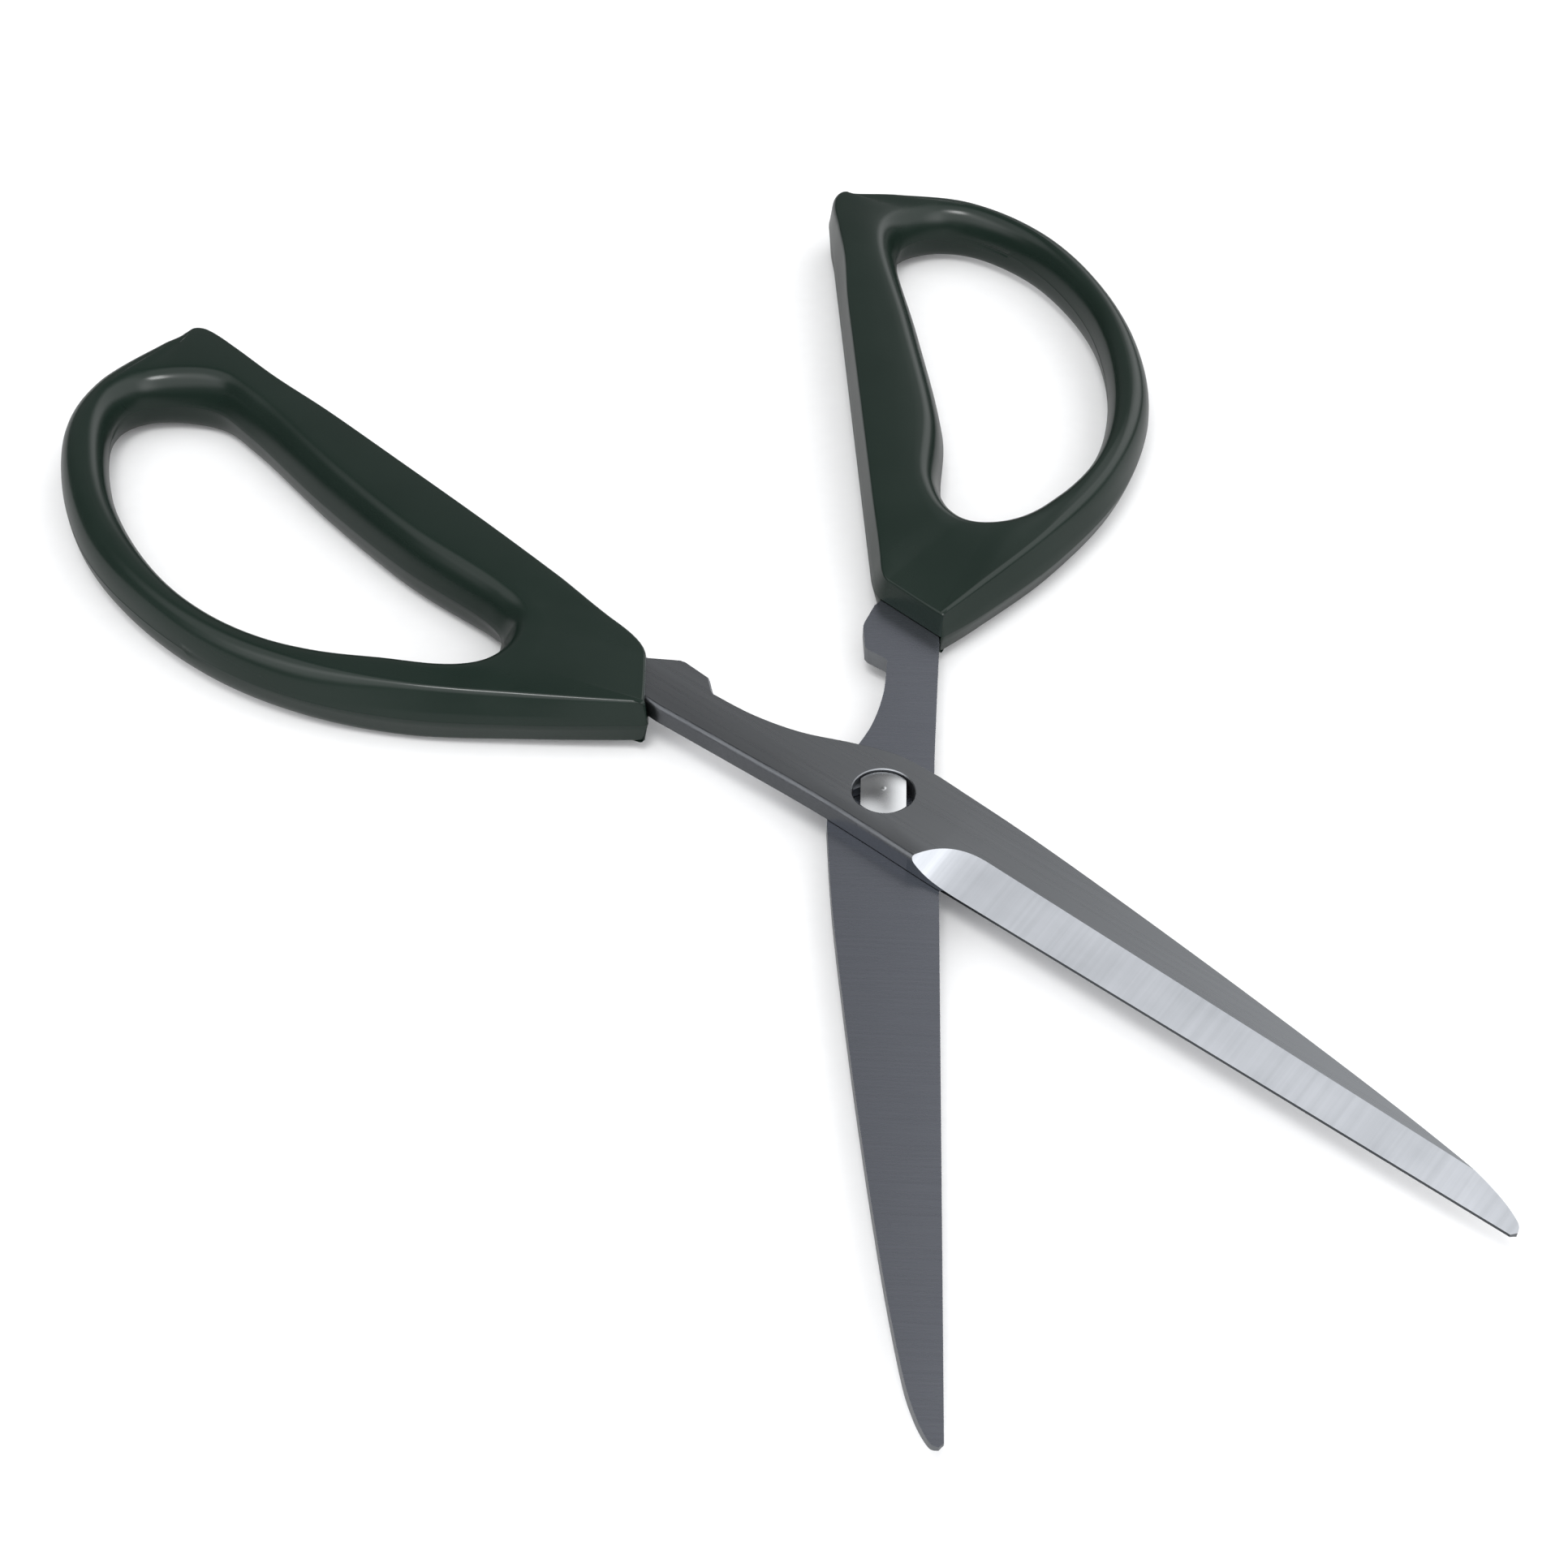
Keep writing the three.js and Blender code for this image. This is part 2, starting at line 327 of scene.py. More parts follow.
BLADE_SURFACES = (Surface.FACE, Surface.GRIND, Surface.LAND, Surface.WALL, Surface.RIDE, Surface.SHADED_TANG_SIDE)


class Grain(Enum):
    """Which way the fine marks of a steel surface run in the blade's own frame."""

    ALONG = (0.012, 1.0, 0.5)
    ACROSS = (1.0, 0.02, 0.02)
    NONE = (1.0, 1.0, 1.0)


def join(tree: bpy.types.NodeTree, operation: str, a: bpy.types.NodeSocket,
         b: bpy.types.NodeSocket | float) -> bpy.types.NodeSocket:
    """Joins two values by a sum or a product.

    Args:
        tree: the nodes that they belong to.
        operation: ADD or MULTIPLY.
        a: first value.
        b: second value, which may be a constant.

    Returns:
        The sum or the product.
    """
    made = tree.nodes.new("ShaderNodeMath")
    made.operation = operation
    tree.links.new(a, made.inputs[0])
    if isinstance(b, float):
        made.inputs[1].default_value = b
    else:
        tree.links.new(b, made.inputs[1])
    return made.outputs[0]


class Sketch:
    """A short hand for laying out one material's nodes."""

    def __init__(self, name: str) -> None:
        """Starts a material with a Principled shader joined to its output."""
        self.material = bpy.data.materials.new(name)
        self.material.use_nodes = True
        self.tree = self.material.node_tree
        self.tree.nodes.clear()
        self.shader = self.tree.nodes.new("ShaderNodeBsdfPrincipled")
        output = self.tree.nodes.new("ShaderNodeOutputMaterial")
        self.tree.links.new(self.shader.outputs["BSDF"], output.inputs["Surface"])

    def node(self, kind: str, values: dict | None = None, **links: bpy.types.NodeSocket) -> bpy.types.Node:
        """Adds a node.

        Args:
            kind: Blender's name for the node.
            values: attributes and input values, by name.
            links: sockets to join to its inputs, by the input's name with _ for a space.

        Returns:
            The node.
        """
        made = self.tree.nodes.new(kind)
        for key, value in (values or {}).items():
            if key in made.inputs:
                made.inputs[key].default_value = value
            else:
                setattr(made, key, value)
        for key, socket in links.items():
            self.tree.links.new(socket, made.inputs[key.replace("_", " ")])
        return made

    def place(self, scale: tuple) -> bpy.types.NodeSocket:
        """Reads the place in the blade's own frame.

        Args:
            scale: what each coordinate is multiplied by.

        Returns:
            The scaled place.
        """
        where = self.node("ShaderNodeAttribute", {"attribute_name": OWN_FRAME})
        mapped = self.node("ShaderNodeMapping", {"Scale": scale}, Vector=where.outputs["Vector"])
        return mapped.outputs["Vector"]

    def noise(self, scale: tuple, detail: float, rough: float = 0.5) -> bpy.types.NodeSocket:
        """Lays out a noise field.

        Args:
            scale: features per metre along each axis.
            detail: octaves of finer noise.
            rough: weight of the finer octaves.

        Returns:
            The field, between 0 and 1.
        """
        made = self.node("ShaderNodeTexNoise", {"Scale": 1.0, "Detail": detail, "Roughness": rough},
                         Vector=self.place(scale))
        return made.outputs["Fac"]

    def span(self, value: bpy.types.NodeSocket, low: float, high: float,
             from_low: float = 0.3, from_high: float = 0.7) -> bpy.types.NodeSocket:
        """Maps a field onto another range and holds it there.

        Args:
            value: the field.
            low: what from_low becomes.
            high: what from_high becomes.
            from_low: low end of the field's own range.
            from_high: high end of the field's own range.

        Returns:
            The mapped field.
        """
        made = self.node("ShaderNodeMapRange", {"From Min": from_low, "From Max": from_high,
                                                "To Min": low, "To Max": high}, Value=value)
        return made.outputs["Result"]

    def mix_colour(self, factor: bpy.types.NodeSocket, dark: tuple, light: tuple) -> bpy.types.NodeSocket:
        """Blends between two colours.

        Args:
            factor: field that runs from 0 at the dark colour to 1 at the light one.
            dark: red, green and blue.
            light: red, green and blue.

        Returns:
            The colour.
        """
        ramp = self.node("ShaderNodeValToRGB", Fac=factor)
        ramp.color_ramp.elements[0].color = (*dark, 1.0)
        ramp.color_ramp.elements[1].color = (*light, 1.0)
        return ramp.outputs["Color"]

    def bump(self, height: bpy.types.NodeSocket, depth: float,
             under: bpy.types.NodeSocket | None = None) -> bpy.types.NodeSocket:
        """Turns a height field into a normal.

        Args:
            height: field between 0 and 1.
            depth: height of 1, in metres.
            under: normal that the marks lie on, if it isn't the surface's own.

        Returns:
            The normal.
        """
        made = self.node("ShaderNodeBump", {"Distance": depth, "Strength": 1.0}, Height=height)
        if under is not None:
            self.tree.links.new(under, made.inputs["Normal"])
        return made.outputs["Normal"]

    def feed(self, **sockets: bpy.types.NodeSocket) -> None:
        """Joins fields to the shader's inputs by name, with _ for a space."""
        for key, socket in sockets.items():
            self.tree.links.new(socket, self.shader.inputs[key.replace("_", " ")])

    def fix(self, values: dict) -> None:
        """Sets constants on the shader's own sockets."""
        for key, value in values.items():
            self.shader.inputs[key].default_value = value


@dataclass(frozen=True)
class SteelFinish:
    """Bare steel with fine directional marks, streaks and faint clouding.

    Attributes:
        name: name of the material.
        dark: colour of the darkest streaks.
        light: colour of the lightest streaks.
        roughness: lowest and highest roughness.
        grain: which way the marks run.
        mark_width: width of one mark.
        mark_depth: depth of one mark.
        streaks: streaks per metre across the grain.
    """

    name: str
    dark: tuple
    light: tuple
    roughness: tuple
    grain: Grain
    mark_width: float = 0.08 * MM
    mark_depth: float = 0.00012 * MM
    streaks: float = 2200.0

    def build(self) -> bpy.types.Material:
        """Returns the material."""
        s = Sketch(self.name)
        across = 1 / self.mark_width
        marks = s.noise(tuple(across * k for k in self.grain.value), 3.0, 0.6)
        clouds = s.noise((90, 160, 90), 3.0)
        streaks = s.noise(tuple(self.streaks * k for k in self.grain.value), 4.0, 0.6)
        tone = s.span(join(s.tree, "ADD", streaks, clouds), 0.0, 1.0, 0.6, 1.4)
        s.feed(Base_Color=s.mix_colour(tone, self.dark, self.light),
               Roughness=s.span(streaks, *self.roughness, 0.2, 0.8),
               Normal=s.bump(marks, self.mark_depth))
        s.fix({"Metallic": 1.0})
        return s.material


@dataclass(frozen=True)
class TurnedFinish:
    """Bright lathe-turned steel, with the tool's rings round its own axis.

    Attributes:
        name: name of the material.
        dark: colour of the dull spots.
        light: colour of the bright spots.
        ring_radian: distance over which the rings' wave turns by one radian.
        ring_depth: depth of a ring.
    """

    name: str
    dark: tuple = (0.60, 0.61, 0.62)
    light: tuple = (0.66, 0.67, 0.68)
    ring_radian: float = 0.45 * MM
    ring_depth: float = 0.0015 * MM

    def build(self) -> bpy.types.Material:
        """Returns the material."""
        s = Sketch(self.name)
        radians_per_unit = 20
        rings = s.node("ShaderNodeTexWave", {"wave_type": "RINGS", "rings_direction": "Z",
                                             "Scale": 1 / (radians_per_unit * self.ring_radian),
                                             "Distortion": 0.3, "Detail": 2.0, "Detail Scale": 3.0},
                       Vector=s.place((1, 1, 1)))
        cloud = s.noise((400, 400, 400), 2.0)
        s.feed(Base_Color=s.mix_colour(s.span(cloud, 0.0, 1.0), self.dark, self.light),
               Roughness=s.span(cloud, 0.25, 0.29),
               Normal=s.bump(rings.outputs["Fac"], self.ring_depth))
        s.fix({"Metallic": 1.0})
        return s.material


@dataclass(frozen=True)
class MouldedFinish:
    """Very dark green glossy plastic with a faint orange-peel skin and hairline scratches."""

    name: str
    dark: tuple = (0.0085, 0.0165, 0.0125)
    light: tuple = (0.0105, 0.0195, 0.0150)
    peel_depth: float = 0.003 * MM
    hair_depth: float = 0.0004 * MM

    def build(self) -> bpy.types.Material:
        """Returns the material."""
        s = Sketch(self.name)
        peel = s.noise((900, 900, 900), 2.0)
        sweep = s.noise((60, 60, 60), 4.0)
        hair = s.noise((350, 9000, 2000), 3.0, 0.7)
        skin = s.bump(peel, self.peel_depth)
        s.feed(Base_Color=s.mix_colour(s.span(sweep, 0.0, 1.0), self.dark, self.light),
               Roughness=s.span(sweep, 0.19, 0.25),
               Normal=s.bump(hair, self.hair_depth, skin))
        s.fix({"Specular IOR Level": 0.38, "IOR": 1.5})
        return s.material


@dataclass(frozen=True)
class FloorFinish:
    """Plain pale matt board, which the object's gloss picks up at half its brightness."""

    name: str
    dark: tuple = (0.94, 0.94, 0.94)
    light: tuple = (0.96, 0.96, 0.96)
    in_gloss: tuple = (0.45, 0.45, 0.45, 1.0)

    def build(self) -> bpy.types.Material:
        """Returns the material."""
        s = Sketch(self.name)
        fleck = s.noise((400, 400, 400), 3.0)
        board = s.mix_colour(s.span(fleck, 0.0, 1.0), self.dark, self.light)
        ray = s.node("ShaderNodeLightPath")
        seen = s.node("ShaderNodeMix", {"data_type": "RGBA"})
        factor_in, first_colour_in, second_colour_in, colour_out = 0, 6, 7, 2
        s.tree.links.new(ray.outputs["Is Glossy Ray"], seen.inputs[factor_in])
        s.tree.links.new(board, seen.inputs[first_colour_in])
        seen.inputs[second_colour_in].default_value = self.in_gloss
        s.feed(Base_Color=seen.outputs[colour_out])
        s.fix({"Roughness": 0.9, "Specular IOR Level": 0.1})
        return s.material


# ---- where the halves lie -----------------------------------------------------------------------
class Half(Enum):
    """The two halves of the shears: body name and heading of the blade's tip in degrees."""

    REAR = ("rear_half", -90.0)
    FRONT = ("front_half", -38.6)

    def place(self, obj: bpy.types.Object, turned_over: bool = False) -> None:
        """Stands a piece on the pivot at this half's heading and rides it on its body.

        Args:
            obj: the piece, built in the blade's frame.
            turned_over: whether it is flipped about the blade's own length first.
        """
        body, heading = self.value
        pivot = Vector(frame["joints"][0]["pos_m"])
        matrix = Matrix.Translation(pivot) @ Matrix.Rotation(math.radians(heading), 4, "Z")
        if turned_over:
            matrix = matrix @ Matrix.Rotation(math.pi, 4, "X")
        keep_own_frame(obj)
        obj.data.transform(matrix)
        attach(obj, body)


# ---- blades -----------------------------------------------------------------------------------
@dataclass
class Blade:
    """A blade and its tang, cut from one plate: shear face at z = 0, outer face above it.

    Attributes:
        name: name of the piece.
        node: the CAD node that it stands for.
        half: the half that it belongs to.
        turned_over: whether its outer face lies downward.
        stock: thickness of the plate.
        shear_gap: half the clearance between the two blades.
        edge_y: where the cutting edge runs.
        tip_x: distance from the pivot to the tip.
        arris: rounding of the outer face's rim.
        tang_arris: the same on the lower side of the tang.
        arris_steps: loops that make up the rounding.
        tip_stock: thickness just past the tip.
        taper_start: where the outer face starts to thin.
        grind_width: width of the ground bevel at its start.
        bevel_sink: how far the bevel's upper edge lies below the plate's outer face.
        land: height of the edge's side that is left below the bevel.
        run_out: the bevel's round start, as corners of a cubic curve in mm along and above the bevel.
        run_out_samples: points along that start.
        tab_high: how far the stop tab stands out.
        tab_slope: how far its far side drops to the handle.
        tongue_end: where the tang ends inside the handle.
        steps: samples from one point of the outline to the next.
    """

    name: str
    node: str
    half: Half
    turned_over: bool
    stock: float = 2.8 * MM
    shear_gap: float = 0.05 * MM
    edge_y: float = -7.6 * MM
    tip_x: float = 104 * MM
    arris: float = 0.3 * MM
    tang_arris: float = 0.7 * MM
    arris_steps: int = 6
    tip_stock: float = 2.0 * MM
    taper_start: float = 12 * MM
    grind_width: float = 6.1 * MM
    bevel_sink: float = 0.1 * MM
    land: float = 0.45 * MM
    run_out: tuple = ((10.2, 2.7), (11.0, 1.1), (13.5, 0.0), (19.0, 0.0))
    run_out_samples: int = 29
    tab_high: float = 3.0 * MM
    tab_slope: float = 1.6 * MM
    tongue_end: float = -72 * MM
    steps: int = 14

    @property
    def bevel_drop(self) -> float:
        """Height of the ground bevel from the land to its upper edge."""
        return self.stock - self.bevel_sink - self.land

    @property
    def bevel_tilt(self) -> float:
        """Angle of the ground bevel from the outer face, in radians."""
        return math.atan2(self.bevel_drop, self.grind_width)

    def outline(self) -> np.ndarray:
        """Draws the outline: spine, waist, stop tab, tongue, underside and cutting edge.

        Returns:
            The corners, anticlockwise seen on the outer face.
        """
        e, tip = self.edge_y / MM, self.tip_x / MM
        spine = [(tip, e + 0.6), (103.2, -5.8), (99, -4.1), (92, -2.5), (76, 0), (50, 3.3), (22, 6.3),
                 (4, 7.5)]
        waist = [(4, 7.5), (-3, 7.1), (-9, 4.9), (-16, 1.7), (-23, 0), (-30, -0.5)]
        high, drop = self.tab_high / MM, self.tab_slope / MM
        tab = [(-30, -0.5), (-30.5, -0.2), (-32.2, high - 0.7), (-32.8, high - 0.3), (-37.3, high),
               (-38.2, high - 0.2), (-42, high - drop), (-45, -1)]
        end = self.tongue_end / MM
        tongue = [(end + 1.5, 0.8), (end + 0.4, 0.4), (end, -0.7), (end, -3), (end + 0.4, -4.1),
                  (end + 1.5, -4.5)]
        under = [(-34, -8), (-20, -7.5), (-4, -7.1), (14, e)]
        parts = [spline(spine, self.steps), spline(waist, self.steps), np.array(tab), np.array(tongue),
                 np.array([(-50, -7.4)]), spline(under, self.steps), np.array([(14, e), (tip - 0.6, e)])]
        return np.vstack(parts) * MM

    def layers(self) -> list:
        """Cuts the blank into level loops: square at the shear face, rounded at the outer face.

        Returns:
            Pairs of a loop and its height, from the shear face up.
        """
        outline = self.outline()
        x, y = outline[:, 0], outline[:, 1]
        lower_side = np.clip((-1.5 * MM - y) / (3 * MM), 0, 1)
        before_bevel = np.clip((20 * MM - x) / (8 * MM), 0, 1)
        arris = self.arris + (self.tang_arris - self.arris) * (lower_side * before_bevel)
        layers = [(outline, 0.0)]
        for turn in np.linspace(0, math.pi / 2, self.arris_steps):
            loop = inset_loop(outline, arris * (1 - math.cos(turn)))
            layers.append((loop, self.stock - self.tang_arris * (1 - math.sin(turn))))
        return layers

    def grind_tool(self) -> bpy.types.Object:
        """Makes what the wheel removes: the bevel, with a curved run-out at its start.

        Returns:
            The tool.
        """
        a, b, c, d = (np.array(corner) for corner in self.run_out)
        curve = [(1 - t) ** 3 * a + 3 * t * (1 - t) ** 2 * b + 3 * t * t * (1 - t) * c + t ** 3 * d
                 for t in np.linspace(0, 1, self.run_out_samples)]
        near, far, high = 8.6, self.tip_x / MM + 4, 6.0
        profile = [(x * MM, z * MM) for x, z in [(near, high), *curve, (far, 0.0), (far, high)]]
        tool = prism("grind_tool", profile, -2 * self.grind_width, self.grind_width)
        tool.data.transform(Matrix.Rotation(self.bevel_tilt, 4, "X"))
        bevel_top = (0, self.edge_y + self.grind_width, self.land + self.bevel_drop)
        tool.data.transform(Matrix.Translation(bevel_top))
        return tool

    def taper_tool(self) -> bpy.types.Object:
        """Makes the wedge that thins the outer face towards the tip.

        Returns:
            The tool.
        """
        start, far = self.taper_start, self.tip_x + 2 * MM
        level = self.stock + 2 * MM
        profile = [(start, self.stock), (far, self.tip_stock), (far, level), (start, level)]
        return prism("taper_tool", profile, -20 * MM, 20 * MM)

    def bores(self) -> list:
        """Returns the tools for the rear blade's round shank hole."""
        return [round_tool(2.45 * MM, -MM, self.stock + MM, 64)]

    def build(self, finishes: dict[Surface, bpy.types.Material]) -> bpy.types.Object:
        """Builds the blade, dresses it and hangs it on its half.

        Args:
            finishes: materials by the surface that they dress.

        Returns:
            The blade.
        """
        blade = stack(self.name, self.layers())
        for tool in (self.taper_tool(), self.grind_tool(), *self.bores()):
            combine(blade, tool)
        self.dress(blade, finishes)
        blade.data.transform(Matrix.Translation((0, 0, self.shear_gap)))
        self.half.place(blade, self.turned_over)
        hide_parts(self.node)
        LOG.info("%s: %d faces", self.name, len(blade.data.polygons))
        return blade

    def surface_at(self, place: Vector, normal: Vector) -> Surface:
        """Tells which surface of the blade a face belongs to.

        Args:
            place: middle of the face, in the blade's own frame.
            normal: direction that the face looks in.

        Returns:
            The surface.
        """
        level = 0.995
        if normal.z < -level:
            return Surface.RIDE
        if normal.z > level:
            return Surface.FACE
        x, y, z = place
        by_the_start = 8.5 * MM < x < 19.2 * MM and y < -1.0 * MM
        in_run_out = by_the_start and z > self.land * 0.9 and normal.x > 0.02
        on_bevel = x > 8 * MM and abs(normal.z - math.cos(self.bevel_tilt)) < 0.01
        if in_run_out or on_bevel:
            return Surface.GRIND
        if x > 10 * MM and y < self.edge_y + 0.3 * MM and abs(normal.z) < 0.1:
            return Surface.LAND
        # the tang's lower side takes the darker steel, which is painted shade
        if self.tongue_end < x < 14 * MM and y < -3 * MM:
            return Surface.SHADED_TANG_SIDE
        return Surface.WALL

    def dress(self, blade: bpy.types.Object, finishes: dict[Surface, bpy.types.Material]) -> None:
        """Gives each surface of the blade its own finish, with painted shade on the tang's lower side.

        Args:
            blade: the cut blade, in its own frame.
            finishes: materials by the surface that they dress.
        """
        for surface in BLADE_SURFACES:
            blade.data.materials.append(finishes[surface])
        for face in blade.data.polygons:
            face.material_index = BLADE_SURFACES.index(self.surface_at(face.center, face.normal))
        shade(blade, 18)


@dataclass
class FrontBlade(Blade):
    """The upper blade, with the counterbore and the two-flat slot that the stud passes.

    Attributes:
        bore: radius of the counterbore and the slot's round ends.
        ledge: steel left under the counterbore.
        slot_half: half the width between the slot's flats.
        slot_heading: direction of the flats from the blade, in degrees.
        broken: height of the counterbore's broken edge.
    """

    tab_high: float = 1.9 * MM
    tab_slope: float = 2.9 * MM
    bore: float = 4.3 * MM
    ledge: float = 1.4 * MM
    slot_half: float = 3.35 * MM
    slot_heading: float = -110.0
    broken: float = 0.15 * MM

    def bores(self) -> list:
        """Makes the tools for the counterbore, its broken edge and the slot.

        Returns:
            The tools, in the order in which they cut.
        """
        slot = round_tool(self.bore, -MM, self.stock, 96)
        between_flats = box_tool((-10 * MM, -self.slot_half, -2 * MM), (10 * MM, self.slot_half, 9 * MM))
        combine(slot, between_flats, "INTERSECT")
        slot.data.transform(Matrix.Rotation(math.radians(self.slot_heading), 4, "Z"))
        low, high = self.stock - self.broken, self.stock + 0.05 * MM
        narrow, wide = self.bore - 0.02 * MM, self.bore + 0.18 * MM
        cone = lathe("broken_edge", [(0, low), (narrow, low), (wide, high), (0, high)], 96)
        return [round_tool(self.bore, self.ledge, self.stock + MM, 96), slot, cone]


# ---- handles ----------------------------------------------------------------------------------
class Run(Enum):
    """How the outline goes on from one station to the next."""

    CURVE = "smooth curve"
    LINE = "straight line"
    CORNER = "rounded corner"


@dataclass(frozen=True)
class Section:
    """Shape of the moulding across its width, in mm from its parting line up.

    Each side rises along a plane wall that leans in, and turns into the top through a fillet.
    A softness near 0 leaves a crisp edge; 1 takes up the whole side.

    Attributes:
        high_out: height of the top by the outside.
        lean_out: how far the outside's wall leans in.
        soft_out: softness of the outside's edge.
        high_in: height of the top by the opening.
        lean_in: how far the opening's wall leans in.
        soft_in: softness of the opening's edge.
        crown: how far the top falls away from its middle to its sides.
    """

    high_out: float
    lean_out: float
    soft_out: float
    high_in: float
    lean_in: float
    soft_in: float
    crown: float

    def row(self) -> list:
        """Returns the section as one row of values."""
        out = [self.high_out, self.lean_out, self.soft_out]
        return [*out, self.high_in, self.lean_in, self.soft_in, self.crown]


NOSE_CORNER = Section(3.75, 0.85, 0.13, 5.0, 2.6, 0.42, 0.0)
NOSE_WALL = Section(4.40, 1.70, 0.16, 5.1, 2.2, 0.50, 0.0)
WEB_WALL = Section(5.00, 1.90, 0.20, 5.1, 0.9, 0.60, 0.1)
WEB_FADE = Section(4.95, 1.30, 0.62, 5.0, 0.6, 0.85, 0.1)
BOW = Section(4.70, 0.30, 0.96, 4.7, 0.3, 0.96, 0.0)
BOW_HEEL = Section(4.80, 0.80, 0.92, 4.8, 0.4, 0.94, 0.1)
HEEL = Section(5.10, 1.90, 0.40, 5.1, 0.8, 0.85, 0.2)
HEEL_END = Section(5.50, 0.55, 0.26, 5.4, 1.0, 0.80, 0.3)
BAR_HEEL = Section(5.80, 0.80, 0.16, 5.7, 1.3, 0.72, 0.3)
BAR_RISE = Section(5.95, 1.25, 0.12, 5.9, 1.3, 0.70, 0.3)
BAR = Section(6.00, 0.85, 0.10, 6.0, 1.3, 0.68, 0.3)
BAR_MIDDLE = Section(5.90, 0.90, 0.10, 5.9, 1.3, 0.66, 0.3)
BAR_NOSE = Section(5.30, 1.00, 0.10, 5.5, 1.6, 0.60, 0.15)
NOSE_HEEL = Section(4.40, 1.20, 0.09, 5.2, 2.4, 0.50, 0.05)
NOSE_FACE = Section(3.85, 0.60, 0.08, 5.0, 2.8, 0.42, 0.0)


@dataclass(frozen=True)
class Station:
    """One place round a bow.

    Attributes:
        outer: where the parting line of the outside runs, in mm.
        faces: place on the opening that it faces, counted in the opening's points.
        section: shape of the moulding there.
        run: how the outline goes on to the next station.
        bend: the point that a rounded corner is pulled to.
    """

    outer: tuple
    faces: float
    section: Section
    run: Run = Run.CURVE
    bend: tuple = (0.0, 0.0)


def on_line(a: tuple, b: tuple, t: float) -> tuple:
    """Returns the point that lies the part t of the way from a to b."""
    return tuple(p + (q - p) * t for p, q in zip(a, b))


